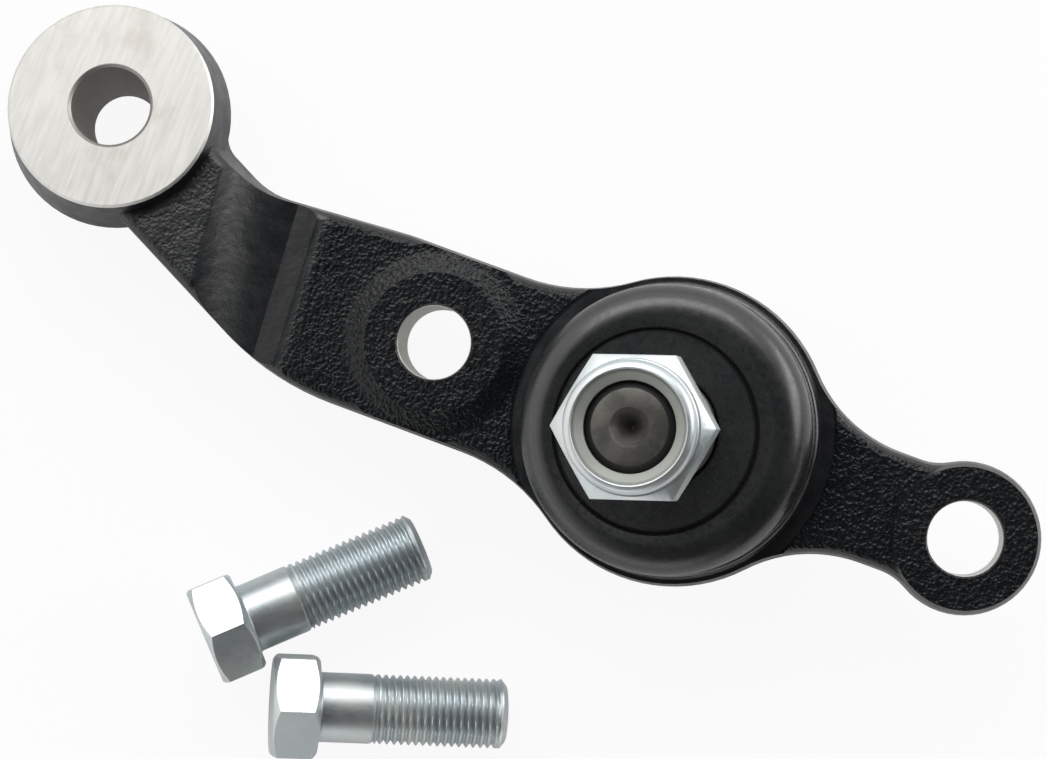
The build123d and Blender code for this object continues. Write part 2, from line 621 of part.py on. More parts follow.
# ---- boot and its two rings ------------------------------------------------------------------
roll_r = BOOT_R - BOOT_BULGE_R
roll_inner = BOOT_BULGE_R - BOOT_WALL
bead_bottom_z = SHOULDER_Z + BOOT_GAP
bead_top_z = RIM_Z + BOOT_GAP
bead_inner_r = RIM_COLLAR_R + BOOT_GAP
roll_end = radians(BOOT_ROLL_END)
flange_bottom = BOOT_FLANGE_TOP - BOOT_FLANGE_THICKNESS
ring_top = BOOT_FLANGE_TOP - NECK_RING_DEPTH
ring_bottom = ring_top - NECK_RING_THICKNESS
bore_gap_r = STUD_SEAT_D / 2 + BOOT_GAP
wire_z = SHOULDER_Z + BASE_WIRE_RISE
with BuildPart() as boot:
    with BuildSketch(axial(housing_plane)):
        with BuildLine():
            CenterArc((roll_r, BOOT_BULGE_Z), BOOT_BULGE_R, 0, BOOT_ROLL_END)
            CenterArc((roll_r, BOOT_BULGE_Z), roll_inner, 0, BOOT_ROLL_END)
            Line(
                (roll_r + BOOT_BULGE_R * cos(roll_end), BOOT_BULGE_Z + BOOT_BULGE_R * sin(roll_end)),
                (roll_r + roll_inner * cos(roll_end), BOOT_BULGE_Z + roll_inner * sin(roll_end)),
            )
            Polyline(
                (roll_r + roll_inner, BOOT_BULGE_Z),
                (roll_r + roll_inner, bead_top_z),
                (bead_inner_r, bead_top_z),
                (bead_inner_r, bead_bottom_z),
                (BOOT_R, bead_bottom_z),
                (BOOT_R, BOOT_BULGE_Z),
            )
        make_face()
    revolve(axis=axis_of(housing_plane))
    with BuildSketch(axial(stud_plane)):
        with BuildLine():
            Polyline(
                (bore_gap_r, flange_bottom),
                (BOOT_FLANGE_R, flange_bottom),
                (BOOT_FLANGE_R, BOOT_FLANGE_TOP - BOOT_FLANGE_EDGE),
                (BOOT_FLANGE_R - BOOT_FLANGE_EDGE, BOOT_FLANGE_TOP),
                (bore_gap_r, BOOT_FLANGE_TOP),
                (bore_gap_r, ring_top + RING_FIT),
                (NECK_RING_R + RING_FIT, ring_top + RING_FIT),
                (NECK_RING_R + RING_FIT, ring_bottom - RING_FIT),
                (bore_gap_r, ring_bottom - RING_FIT),
                close=True,
            )
        make_face()
    revolve(axis=axis_of(stud_plane))
    with BuildSketch(axial(housing_plane)):
        with Locations((BOOT_R, wire_z)):
            Circle(BASE_WIRE_D / 2 + RING_FIT)
    revolve(axis=axis_of(housing_plane), mode=Mode.SUBTRACT)

with BuildPart() as boot_neck_ring:
    with BuildSketch(stud_plane.offset(ring_bottom)):
        Circle(NECK_RING_R)
        Circle(bore_gap_r, mode=Mode.SUBTRACT)
    extrude(amount=NECK_RING_THICKNESS)

with BuildPart() as boot_base_ring:
    with BuildSketch(axial(housing_plane)):
        with Locations((BOOT_R, wire_z)):
            Circle(BASE_WIRE_D / 2)
    revolve(axis=axis_of(housing_plane))

# ---- stud_nut and nut_insert -----------------------------------------------------------------
nut_start = STUD_END + NUT_PROUD - NUT_HEIGHT
nut_turned = radians(NUT_CORNER_AZIMUTH - STUD_LEAN_AZIMUTH - 90)
nut_plane = Plane(
    origin=ball_centre + stud_direction * nut_start,
    x_dir=stud_plane.x_dir * cos(nut_turned) + stud_plane.y_dir * sin(nut_turned),
    z_dir=stud_direction,
)
thread_bore_r = stud_r + THREAD_FIT
pocket_top = NUT_HEIGHT - LIP_THICKNESS
pocket_floor = pocket_top - INSERT_HEIGHT - 2 * INSERT_FIT
with BuildPart() as stud_nut:
    with BuildSketch(nut_plane):
        RegularPolygon(NUT_FLATS / 2, 6, major_radius=False)
    extrude(amount=NUT_HEX_HEIGHT)
    add(hexagon_trim(nut_plane, NUT_FLATS, NUT_HEX_HEIGHT, NUT_CHAMFER), mode=Mode.INTERSECT)
    under_side = Plane(
        origin=nut_plane.origin + nut_plane.z_dir * NUT_HEX_HEIGHT,
        x_dir=nut_plane.x_dir,
        z_dir=-nut_plane.z_dir,
    )
    add(hexagon_trim(under_side, NUT_FLATS, NUT_HEX_HEIGHT, NUT_CHAMFER), mode=Mode.INTERSECT)
    with BuildSketch(axial(nut_plane)):
        with BuildLine():
            Polyline(
                (0, NUT_HEX_HEIGHT - NUT_COLLAR_FILLET),
                (NUT_COLLAR_R + NUT_COLLAR_FILLET, NUT_HEX_HEIGHT - NUT_COLLAR_FILLET),
                (NUT_COLLAR_R + NUT_COLLAR_FILLET, NUT_HEX_HEIGHT),
                (NUT_COLLAR_R, NUT_HEX_HEIGHT + NUT_COLLAR_FILLET),
                (NUT_COLLAR_R, NUT_HEIGHT),
                (0, NUT_HEIGHT),
                close=True,
            )
        collar_face = make_face()
        fillet(collar_face.vertices().sort_by_distance((NUT_COLLAR_R, NUT_HEIGHT))[0], LIP_THICKNESS)
    revolve(axis=axis_of(nut_plane))
    with BuildSketch(axial(nut_plane)):
        with BuildLine():
            Polyline(
                (0, -THREAD_FIT),
                (thread_bore_r + STUD_CHAMFER + THREAD_FIT, -THREAD_FIT),
                (thread_bore_r, STUD_CHAMFER),
                (thread_bore_r, pocket_floor),
                (INSERT_R + INSERT_FIT, pocket_floor),
                (INSERT_R + INSERT_FIT, pocket_top),
                (LIP_R, pocket_top),
                (LIP_R, NUT_HEIGHT + THREAD_FIT),
                (0, NUT_HEIGHT + THREAD_FIT),
                close=True,
            )
        make_face()
    revolve(axis=axis_of(nut_plane), mode=Mode.SUBTRACT)

with BuildPart() as nut_insert:
    with BuildSketch(axial(nut_plane)):
        with BuildLine():
            Polyline(
                (thread_bore_r, pocket_floor + INSERT_FIT),
                (INSERT_R, pocket_floor + INSERT_FIT),
                (INSERT_R, pocket_top - INSERT_FIT),
                (LIP_R - LIP_THICKNESS / 2, pocket_top - INSERT_FIT),
                (thread_bore_r, pocket_top - INSERT_DISH),
                close=True,
            )
        make_face()
    revolve(axis=axis_of(nut_plane))

# ---- mounting bolts ---------------------------------------------------------------------------
bolt_r = BOLT_D / 2
bolt_lift = atan2(BOLT_FLATS / ROOT_3 - bolt_r, BOLT_LENGTH - BOLT_TIP)
shank_start = BOLT_LENGTH - BOLT_SHANK
bolt_profile = [(0, 0), (bolt_r - BOLT_TIP * BOLT_TIP_SLOPE, 0)]
for turn in range(int((shank_start - BOLT_TIP) / BOLT_THREAD_PITCH)):
    crest_z = BOLT_TIP + turn * BOLT_THREAD_PITCH
    bolt_profile.append((bolt_r, crest_z))
    bolt_profile.append((bolt_r - BOLT_THREAD_DEPTH, crest_z + BOLT_THREAD_PITCH / 2))
bolt_profile += [(bolt_r, shank_start), (bolt_r, BOLT_LENGTH), (0, BOLT_LENGTH)]
bolts = {}
bolt_places = {
    "mounting_bolt_a": (BOLT_A_TIP, BOLT_A_YAW),
    "mounting_bolt_b": (BOLT_B_TIP, BOLT_B_YAW),
}
for name, (tip, yaw) in bolt_places.items():
    heading = bench_plane.x_dir * cos(radians(yaw)) + bench_plane.y_dir * sin(radians(yaw))
    rise = bolt_r * cos(bolt_lift) - BOLT_TIP * sin(bolt_lift)
    bolt_plane = Plane(
        origin=bench_plane.from_local_coords(Vector(tip[0], tip[1], rise)),
        x_dir=bench_plane.z_dir * cos(bolt_lift) + heading * sin(bolt_lift),
        z_dir=bench_plane.z_dir * sin(bolt_lift) - heading * cos(bolt_lift),
    )
    seat_plane = bolt_plane.offset(BOLT_LENGTH)
    with BuildPart() as bolt:
        with BuildSketch(seat_plane):
            RegularPolygon(BOLT_FLATS / 2, 6, major_radius=False)
        extrude(amount=BOLT_HEAD)
        add(hexagon_trim(seat_plane, BOLT_FLATS, BOLT_HEAD, NUT_CHAMFER), mode=Mode.INTERSECT)
        with BuildSketch(axial(bolt_plane)):
            with BuildLine():
                Polyline(*bolt_profile, close=True)
            make_face()
        revolve(axis=axis_of(bolt_plane))
    bolts[name] = bolt.part

pieces = {
    "knuckle_arm": knuckle_arm.part,
    "upper_seat": upper_seat.part,
    "lower_seat": lower_seat.part,
    "pressure_plate": pressure_plate.part,
    "preload_spring": preload_spring.part,
    "cover_plate": cover_plate.part,
    "ball_stud": ball_stud.part,
    "boot": boot.part,
    "boot_neck_ring": boot_neck_ring.part,
    "boot_base_ring": boot_base_ring.part,
    "stud_nut": stud_nut.part,
    "nut_insert": nut_insert.part,
    **bolts,
}
for name, piece in pieces.items():
    piece.label = name
    export_step(piece, f"parts/{name}.step")
    print(name, piece.is_valid, len(piece.solids()), round(piece.volume, 1), piece.bounding_box())
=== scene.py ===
"""Looks of a suspension ball joint with its steering arm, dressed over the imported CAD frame.

Metres, in the frame of the part: the origin lies midway between the two bolt holes, on the
face that bolts to the knuckle, and +Z points to the ball stud's side.
"""
import json
from math import atan, atan2, cos, degrees, pi, radians, sin, sqrt, tan

import bpy
from mathutils import Matrix, Vector


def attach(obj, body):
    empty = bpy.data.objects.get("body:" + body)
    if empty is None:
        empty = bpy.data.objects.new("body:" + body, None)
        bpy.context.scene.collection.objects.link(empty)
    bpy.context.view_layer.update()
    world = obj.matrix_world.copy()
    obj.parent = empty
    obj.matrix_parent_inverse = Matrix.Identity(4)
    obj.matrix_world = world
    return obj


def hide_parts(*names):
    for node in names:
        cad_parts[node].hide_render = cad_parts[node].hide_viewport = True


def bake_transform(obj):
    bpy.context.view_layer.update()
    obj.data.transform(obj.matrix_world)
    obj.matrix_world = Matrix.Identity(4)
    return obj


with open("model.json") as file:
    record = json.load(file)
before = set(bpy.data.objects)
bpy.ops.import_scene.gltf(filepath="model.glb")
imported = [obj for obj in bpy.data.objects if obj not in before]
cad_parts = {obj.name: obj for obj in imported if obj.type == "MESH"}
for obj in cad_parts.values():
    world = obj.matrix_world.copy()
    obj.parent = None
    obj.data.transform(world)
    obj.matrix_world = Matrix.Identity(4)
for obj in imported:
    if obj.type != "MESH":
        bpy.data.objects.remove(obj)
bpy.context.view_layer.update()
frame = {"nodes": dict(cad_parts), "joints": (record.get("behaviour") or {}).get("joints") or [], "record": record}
nodes = frame["nodes"]
joints = {j["name"]: j for j in frame["joints"]}
mounts = {m["name"]: m for m in frame["record"]["mounts"]}

MM = 0.001

# ---- places taken from the frame ------------------------------------------------------------
UP = Vector((0, 0, 1))
ball_centre = Vector(joints["stud_azimuth"]["pos_m"])
stud_axis = Vector(joints["stud_spin"]["axis"]).normalized()
swing_axis = Vector(joints["stud_swing"]["axis"]).normalized()
bench_up = Vector(joints["bolt_a_lift"]["axis"]).normalized()
boss_face = Vector(mounts["tie_rod_bore"]["pos_m"])
boss_axis = Vector(mounts["tie_rod_bore"]["axis"]).normalized()
EYE_X = mounts["knuckle_bolts"]["dims"]["spacing_x_mm"] / 2
BOLT_HOLE_R = mounts["knuckle_bolts"]["dims"]["hole_r_mm"]
stud_lean = UP.angle(stud_axis)


def place(origin, axis, toward):
    """Matrix whose z is axis and whose x leans as near to toward as it can."""
    z = Vector(axis).normalized()
    x = (Vector(toward) - z * z.dot(Vector(toward))).normalized()
    y = z.cross(x)
    matrix = Matrix((x, y, z)).transposed().to_4x4()
    matrix.translation = origin
    return matrix


# ---- meshes -----------------------------------------------------------------------------------
SHARP = radians(28)


def finish_mesh(name, verts, faces, material, sharp=SHARP):
    mesh = bpy.data.meshes.new(name)
    mesh.from_pydata([tuple(v) for v in verts], [], faces)
    mesh.validate()
    mesh.update()
    mesh.materials.append(material)
    mesh.shade_smooth()
    mesh.set_sharp_from_angle(angle=sharp)
    made = bpy.data.objects.new(name, mesh)
    bpy.context.scene.collection.objects.link(made)
    return made


def turned(name, rows, matrix, material, segments=144, closed=False, sharp=SHARP, warp=None):
    """A shell of rows round an axis. A row is (radius, height) in mm, or a function of the angle
    that gives both. A row of radius 0 closes the shell. warp moves a point by its row and place."""
    verts = []
    rings = []
    for i, row in enumerate(rows):
        if not callable(row) and row[0] <= 0:
            verts.append(matrix @ Vector((0, 0, row[1] * MM)))
            rings.append([len(verts) - 1])
            continue
        ring = []
        for k in range(segments):
            turn = 2 * pi * k / segments
            radius, height = row(turn) if callable(row) else row
            point = Vector((radius * cos(turn), radius * sin(turn), height)) * MM
            verts.append(warp(i, point) if warp else matrix @ point)
            ring.append(len(verts) - 1)
        rings.append(ring)
    faces = []
    pairs = list(zip(rings, rings[1:]))
    if closed:
        pairs.append((rings[-1], rings[0]))
    for low, high in pairs:
        for k in range(segments):
            n = (k + 1) % segments
            if len(low) == 1:
                faces.append((low[0], high[n], high[k]))
            elif len(high) == 1:
                faces.append((low[k], low[n], high[0]))
            else:
                faces.append((low[k], low[n], high[n], high[k]))
    return finish_mesh(name, verts, faces, material, sharp)


def hexagon(flats):
    """Radius of a hexagon with a corner at angle 0, as a function of the angle."""
    def radius(turn):
        off = (turn % (pi / 3)) - pi / 6
        return flats / 2 / cos(off)
    return radius


def arc(centre, radius, start, end, steps):
    """Points of an arc in a profile, in mm and degrees."""
    points = []
    for k in range(steps + 1):
        turn = radians(start + (end - start) * k / steps)
        points.append((centre[0] + radius * cos(turn), centre[1] + radius * sin(turn)))
    return points


def thread_rows(crest, depth, pitch, start, end, steps=12, fade=1.2):
    """Rows of a V thread between two heights, run out over fade turns at both ends."""
    count = round((end - start) / pitch * steps)
    rows = []
    for i in range(count + 1):
        height = start + (end - start) * i / count

        def row(turn, height=height):
            phase = (height / pitch - turn / (2 * pi)) % 1.0
            wave = abs(2 * phase - 1)
            groove = min(max((wave - 0.12) / 0.76, 0.0), 1.0)
            run_in = min(1.0, (height - start) / (fade * pitch), (end - height) / (0.3 * pitch))
            return crest - depth * groove * max(run_in, 0.0), height

        rows.append(row)
    return rows


# ---- materials ------------------------------------------------------------------------------
class Nodes:
    """Short calls for building a material's node tree."""

    def __init__(self, name):
        self.material = bpy.data.materials.new(name)
        self.material.use_nodes = True
        self.tree = self.material.node_tree
        self.shader = self.tree.nodes["Principled BSDF"]

    def feed(self, socket, value):
        """Links an output to a socket, or sets a constant on it."""
        if hasattr(value, "is_output"):
            self.tree.links.new(value, socket)
        else:
            socket.default_value = value

    def add(self, kind, **inputs):
        made = self.tree.nodes.new(kind)
        for key, value in inputs.items():
            self.feed(made.inputs[key], value)
        return made

    def set(self, **inputs):
        for key, value in inputs.items():
            self.feed(self.shader.inputs[key.replace("_", " ")], value)

    def math(self, operation, *values):
        made = self.tree.nodes.new("ShaderNodeMath")
        made.operation = operation
        for k, value in enumerate(values):
            self.feed(made.inputs[k], value)
        return made.outputs[0]

    def vector(self, operation, *values, scale=None):
        made = self.tree.nodes.new("ShaderNodeVectorMath")
        made.operation = operation
        for k, value in enumerate(values):
            self.feed(made.inputs[k], value)
        if scale is not None:
            made.inputs["Scale"].default_value = scale
        gives_number = operation in ("DOT_PRODUCT", "LENGTH")
        return made.outputs["Value" if gives_number else "Vector"]

    def place(self):
        return self.add("ShaderNodeTexCoord").outputs["Object"]

    def noise(self, where, scale, detail, roughness):
        made = self.add("ShaderNodeTexNoise", Vector=where, Scale=scale, Detail=detail, Roughness=roughness)
        return made.outputs["Fac"]

    def ramp(self, value, low, high, first, last):
        """first below low, last above high, smooth between."""
        made = self.tree.nodes.new("ShaderNodeMapRange")
        made.interpolation_type = "SMOOTHSTEP"
        for key, given in (("Value", value), ("From Min", low), ("From Max", high),
                           ("To Min", first), ("To Max", last)):
            self.feed(made.inputs[key], given)
        return made.outputs[0]

    def mixed(self, data_type, first_socket, output, factor, a, b):
        made = self.tree.nodes.new("ShaderNodeMix")
        made.data_type = data_type
        self.feed(made.inputs[0], factor)
        self.feed(made.inputs[first_socket], a)
        self.feed(made.inputs[first_socket + 1], b)
        return made.outputs[output]

    def blend(self, factor, a, b):
        """A number between two, by a factor."""
        return self.mixed("FLOAT", 2, 0, factor, a, b)

    def blend_normals(self, factor, a, b):
        return self.mixed("VECTOR", 4, 1, factor, a, b)

    def mix(self, factor, a, b):
        """A colour between two, by a factor."""
        return self.mixed("RGBA", 6, 2, factor, a, b)

    def bump(self, height, distance, strength=1.0, after=None):
        made = self.add("ShaderNodeBump", Height=height, Distance=distance, Strength=strength)
        if after is not None:
            self.tree.links.new(after, made.inputs["Normal"])
        return made.outputs[0]


def grey(value):
    return (value, value, value, 1)


def distance_from_axis(n, where, centre, axis):
    """Place along an axis, and distance from it, in metres."""
    off = n.vector("SUBTRACT", where, tuple(centre))
    along = n.vector("DOT_PRODUCT", off, tuple(axis))
    return along, n.vector("LENGTH", n.vector("CROSS_PRODUCT", off, tuple(axis)))


# The ramp between the neck and the bar, and the boss, as in the part.
JOGGLE_START_X = -89.1
JOGGLE_START_SKEW = -0.125
JOGGLE_END_X = -73.2
JOGGLE_END_SKEW = -0.06
BOSS_FACE_R = 17.6
BORE_R = 6.8
HOUSING_CLEAR_R = 27.0     # the grain stops here, round the housing
NECK_GRAIN = 0.35          # grain on the neck, as a share of the bar's
PIT_SCALE = 1500.0         # cells per metre
GRAIN_DEPTH = 0.26
SKIN_DEPTH = 0.4
WALL_MARGIN = 0.08         # bare steel round a bolt hole's wall


def forging_material():
    """Black e-coat over a forged skin, with the ground boss face and the bare bore walls."""
    n = Nodes("coated_forging")
    where = n.place()
    x, y, _ = n.add("ShaderNodeSeparateXYZ", Vector=where).outputs
    normal = n.add("ShaderNodeNewGeometry").outputs["Normal"]
    rise = n.add("ShaderNodeSeparateXYZ", Vector=normal).outputs[2]

    # The coarse grain lies on what faces up: fully on the bar, web and eye, weaker on the neck,
    # and not on the ramp between them or next to the housing.
    level = n.ramp(rise, 0.60, 0.85, 0.0, 1.0)
    start_line = n.math("SUBTRACT", x, n.math("MULTIPLY", y, JOGGLE_START_SKEW))
    end_line = n.math("SUBTRACT", x, n.math("MULTIPLY", y, JOGGLE_END_SKEW))
    on_neck = n.ramp(start_line, (JOGGLE_START_X - 0.6) * MM, (JOGGLE_START_X + 0.2) * MM, NECK_GRAIN, 0.0)
    on_bar = n.ramp(end_line, (JOGGLE_END_X + 0.2) * MM, (JOGGLE_END_X + 2.6) * MM, 0.0, 1.0)
    grainy = n.math("MULTIPLY", level, n.math("MAXIMUM", on_neck, on_bar))
    _, from_ball = distance_from_axis(n, where, ball_centre, UP)
    clear = n.ramp(from_ball, HOUSING_CLEAR_R * MM, (HOUSING_CLEAR_R + 0.8) * MM, 0.0, 1.0)
    grainy = n.math("MULTIPLY", grainy, clear)

    # Pits with soft swells between them, over a smoother forged skin.
    swirl = n.add("ShaderNodeTexNoise", Vector=where, Scale=500.0).outputs["Color"]
    warped = n.vector("ADD", where, n.vector("SCALE", swirl, scale=0.0012))
    pits = n.add("ShaderNodeTexVoronoi", Vector=warped, Scale=PIT_SCALE)
    pits.feature = "SMOOTH_F1"
    pits.inputs["Smoothness"].default_value = 0.5
    swell = n.noise(where, 650.0, 3.0, 0.6)
    fine = n.noise(where, 2600.0, 2.0, 0.5)
    coarse = n.math("ADD", n.math("MULTIPLY", pits.outputs["Distance"], 0.8), swell)
    rough_height = n.math("ADD", n.math("MULTIPLY", coarse, grainy), n.math("MULTIPLY", fine, 0.05))
    skin = n.noise(where, 240.0, 4.0, 0.55)
    coat_bump = n.bump(rough_height, GRAIN_DEPTH * MM, 1.0, after=n.bump(skin, SKIN_DEPTH * MM, 0.5))

    def inside(spread, radius):
        """1 inside a radius of an axis."""
        return n.ramp(spread, (radius - 0.05) * MM, (radius + 0.05) * MM, 1.0, 0.0)

    # Bare steel: the bolt holes' walls, the boss's bore and its ground face.
    along, spread = distance_from_axis(n, where, boss_face, boss_axis)
    bore = inside(spread, BORE_R + 0.5)
    on_face = n.math("MULTIPLY", n.ramp(along, -0.55 * MM, -0.45 * MM, 0.0, 1.0),
                     inside(spread, BOSS_FACE_R + 0.35))
    bare = n.math("MAXIMUM", bore, on_face)
    for eye_x in (-EYE_X, EYE_X):
        _, spread = distance_from_axis(n, where, (eye_x * MM, 0, 0), UP)
        bare = n.math("MAXIMUM", bare, inside(spread, BOLT_HOLE_R + WALL_MARGIN))

    # Grinding marks on the bare steel run in one direction, with faint stains across them.
    marks = n.add("ShaderNodeMapping", Vector=where)
    marks.inputs["Rotation"].default_value = (0, 0, radians(-20))
    marks.inputs["Scale"].default_value = (1500.0, 120.0, 500.0)
    scratches = n.noise(marks.outputs[0], 1.0, 3.0, 0.6)
    stains = n.noise(where, 110.0, 3.0, 0.6)
    steel = n.mix(n.ramp(scratches, 0.3, 0.7, 0.0, 1.0), (0.62, 0.61, 0.58, 1), (0.70, 0.69, 0.66, 1))
    steel = n.mix(n.ramp(stains, 0.5, 0.8, 0.0, 0.6), steel, (0.50, 0.46, 0.40, 1))
    steel = n.mix(bore, steel, (0.34, 0.33, 0.31, 1))
    tint = n.noise(where, 45.0, 2.0, 0.5)
    coat = n.mix(n.ramp(tint, 0.35, 0.65, 0.0, 1.0), (0.004, 0.005, 0.0065, 1), (0.006, 0.0068, 0.008, 1))
    n.set(Base_Color=n.mix(bare, coat, steel))
    n.set(Metallic=n.math("MULTIPLY", bare, 0.9))
    n.set(Specular_IOR_Level=n.ramp(grainy, NECK_GRAIN, 1.0, 0.6, 0.27))
    coat_rough = n.blend(grainy, n.ramp(skin, 0.3, 0.7, 0.30, 0.42), n.ramp(fine, 0.3, 0.7, 0.22, 0.33))
    n.set(Roughness=n.blend(bare, coat_rough, n.ramp(scratches, 0.3, 0.7, 0.42, 0.50)))
    n.set(Normal=n.blend_normals(bare, coat_bump, n.bump(scratches, 0.02 * MM, 0.3)))
    return n.material


def metal_material(name, low, high, rough, grain=900.0, depth=0.02, metallic=1.0):
    """Metal whose colour and gloss drift between two values."""
    n = Nodes(name)
    where = n.place()
    cloud = n.noise(where, grain * 0.12, 3.0, 0.55)
    fine = n.noise(where, grain * 2.5, 2.0, 0.6)
    n.set(Base_Color=n.mix(n.ramp(cloud, 0.38, 0.62, 0.0, 1.0), low, high))
    n.set(Metallic=metallic)
    wear = n.math("ADD", n.math("MULTIPLY", fine, 0.5), n.math("MULTIPLY", cloud, 0.5))
    n.set(Roughness=n.ramp(wear, 0.35, 0.65, rough[0], rough[1]))
    n.set(Normal=n.bump(fine, depth * MM, 0.5))
    return n.material


# The ball stud: heights run along it, from the ball's centre.
BALL_R = 12.0
BALL_FLAT = 11.2
NECK_R = 7.0
SEAT_R = 9.0
SEAT_START = 15.5
TAPER_START = 21.5
TAPER_END = 40.5
TAPER_LARGE_R = 8.4875
TAPER_SMALL_R = 7.3
STUD_END = 62.0
THREAD_R = 7.0
STUD_CHAMFER = 1.1
CENTRE_DRILL_R = 2.95


def stud_material():
    """Phosphated steel; the thread and the end's chamfer are painted near black, partly for oil and partly as
    painted shade down inside the nut.
    """
    n = Nodes("stud_steel")
    where = n.place()
    along, spread = distance_from_axis(n, where, ball_centre, stud_axis)
    # Painted shade: past the taper and off the end face, the thread and chamfer get a near-black colour standing
    # in for the shade inside the nut, with some oil.
    past_taper = n.ramp(along, (TAPER_END + 0.1) * MM, (TAPER_END + 0.4) * MM, 0.0, 1.0)
    chamfer_foot = THREAD_R - STUD_CHAMFER
    off_end_face = n.ramp(spread, (chamfer_foot - 0.08) * MM, (chamfer_foot + 0.05) * MM, 0.0, 1.0)
    oiled_and_shaded = n.math("MULTIPLY", past_taper, off_end_face)
    cloud = n.noise(where, 170.0, 3.0, 0.55)
    fine = n.noise(where, 3500.0, 2.0, 0.6)
    steel = n.mix(n.ramp(cloud, 0.38, 0.62, 0.0, 1.0), (0.09, 0.088, 0.078, 1), (0.15, 0.145, 0.13, 1))
    n.set(Base_Color=n.mix(oiled_and_shaded, steel, (0.006, 0.006, 0.006, 1)))
    n.set(Metallic=n.math("MULTIPLY", n.math("SUBTRACT", 1.0, oiled_and_shaded), 0.7))
    n.set(Roughness=n.ramp(fine, 0.35, 0.65, 0.38, 0.55))
    n.set(Normal=n.bump(n.math("ADD", fine, n.math("MULTIPLY", cloud, 0.6)), 0.05 * MM, 0.5))
    return n.material


def soft_material(name, low, high, rough, grain=700.0, depth=0.05, specular=0.5):
    """Rubber or plastic with a faint moulded grain."""
    n = Nodes(name)
    where = n.place()
    cloud = n.noise(where, grain * 0.1, 3.0, 0.6)
    fine = n.noise(where, grain, 3.0, 0.6)
    n.set(Base_Color=n.mix(n.ramp(cloud, 0.35, 0.65, 0.0, 1.0), low, high))
    n.set(Roughness=n.ramp(fine, 0.3, 0.7, rough[0], rough[1]))
    n.set(Specular_IOR_Level=specular)
    n.set(Normal=n.bump(fine, depth * MM, 0.35))
    return n.material


coated_forging = forging_material()
zinc = metal_material("zinc_plate", (0.50, 0.55, 0.57, 1), (0.60, 0.63, 0.62, 1), (0.32, 0.44),
                      grain=700.0, depth=0.012, metallic=0.85)
stud_steel = stud_material()
spring_steel = metal_material("spring_steel", (0.22, 0.22, 0.23, 1), (0.32, 0.32, 0.33, 1), (0.3, 0.45))
ring_steel = metal_material("ring_steel", (0.10, 0.10, 0.10, 1), (0.16, 0.16, 0.16, 1), (0.3, 0.5))
cover_steel = soft_material("cover_steel", (0.014, 0.014, 0.015, 1), (0.022, 0.022, 0.022, 1), (0.35, 0.5))
rubber = soft_material("boot_rubber", (0.010, 0.011, 0.012, 1), (0.015, 0.016, 0.016, 1), (0.24, 0.34),
                       grain=900.0, depth=0.012, specular=0.7)
nylon = soft_material("insert_nylon", (0.26, 0.275, 0.25, 1), (0.33, 0.34, 0.31, 1), (0.3, 0.42))
resin = soft_material("seat_resin", (0.80, 0.78, 0.70, 1), (0.86, 0.84, 0.78, 1), (0.3, 0.45))

finishes = {
    "knuckle_arm": coated_forging,
    "upper_seat": resin,
    "lower_seat": resin,
    "pressure_plate": spring_steel,
    "preload_spring": spring_steel,
    "cover_plate": cover_steel,
    "boot_neck_ring": ring_steel,
    "boot_base_ring": ring_steel,
    "boot": rubber,
    "ball_stud": stud_steel,
    "stud_nut": zinc,
    "nut_insert": nylon,
    "mounting_bolt_a": zinc,
    "mounting_bolt_b": zinc,
}
for node, material in finishes.items():
    mesh = nodes[node].data
    mesh.materials.clear()
    mesh.materials.append(material)

# ---- locknut and its insert -----------------------------------------------------------------
NUT_FLATS = 22.0
NUT_HEIGHT = 14.0
NUT_HEX_HEIGHT = 9.6
NUT_COLLAR_R = 10.2
NUT_TOP = 63.6             # along the stud, from the ball's centre
NUT_CORNER_AZIMUTH = 18.9
NUT_CHAMFER = tan(radians(30))
INSERT_R = 9.2
INSERT_HEIGHT = 3.0
LIP_R = 8.7
LIP_THICKNESS = 0.8
THREAD_FIT = 0.06
INSERT_FIT = 0.04
HEX_FACE = 0.955           # radius of a hexagon's end face, as a share of its flats' radius

corner_direction = Vector((cos(radians(NUT_CORNER_AZIMUTH)), sin(radians(NUT_CORNER_AZIMUTH)), 0))
nut_place = place(ball_centre + stud_axis * (NUT_TOP - NUT_HEIGHT) * MM, stud_axis, corner_direction)


def hexagon_rows(flats, low, high):
    """Side of a hexagon with its corners taken off at both ends by a 30 degree cone."""
    radius = hexagon(flats)
    turned_r = flats / 2 * HEX_FACE

    def cut(turn):
        return (radius(turn) - turned_r) * NUT_CHAMFER

    return [
        (turned_r, low),
        lambda turn: (radius(turn) - 0.12, low + cut(turn) - 0.02),
        lambda turn: (radius(turn), low + cut(turn) + 0.12),
        lambda turn: (radius(turn), high - cut(turn) - 0.12),
        lambda turn: (radius(turn) - 0.12, high - cut(turn) + 0.02),
        (turned_r, high),
    ]


def make_nut():
    bore = THREAD_R + THREAD_FIT
    pocket = INSERT_R + INSERT_FIT
    lip = NUT_HEIGHT - LIP_THICKNESS
    pocket_floor = NUT_HEIGHT - INSERT_HEIGHT - 0.9
    rows = [(bore, 1.2), (THREAD_R + 1.2, 0.0)]
    rows += hexagon_rows(NUT_FLATS, 0.0, NUT_HEX_HEIGHT)
    rows += arc((NUT_COLLAR_R + 0.25, NUT_HEX_HEIGHT + 0.45), 0.45, 270, 180, 4)
    rows += arc((NUT_COLLAR_R - 1.5, NUT_HEIGHT - 1.5), 1.5, 0, 78, 8)
    rows += arc((LIP_R + 0.28, NUT_HEIGHT - 0.30), 0.28, 90, 180, 4)
    rows += [(LIP_R, lip), (pocket, lip), (pocket, pocket_floor), (bore, pocket_floor)]
    nut = turned("locknut", rows, nut_place, zinc, segments=240, closed=True)
    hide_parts("stud_nut")
    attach(nut, "nut")
    return nut


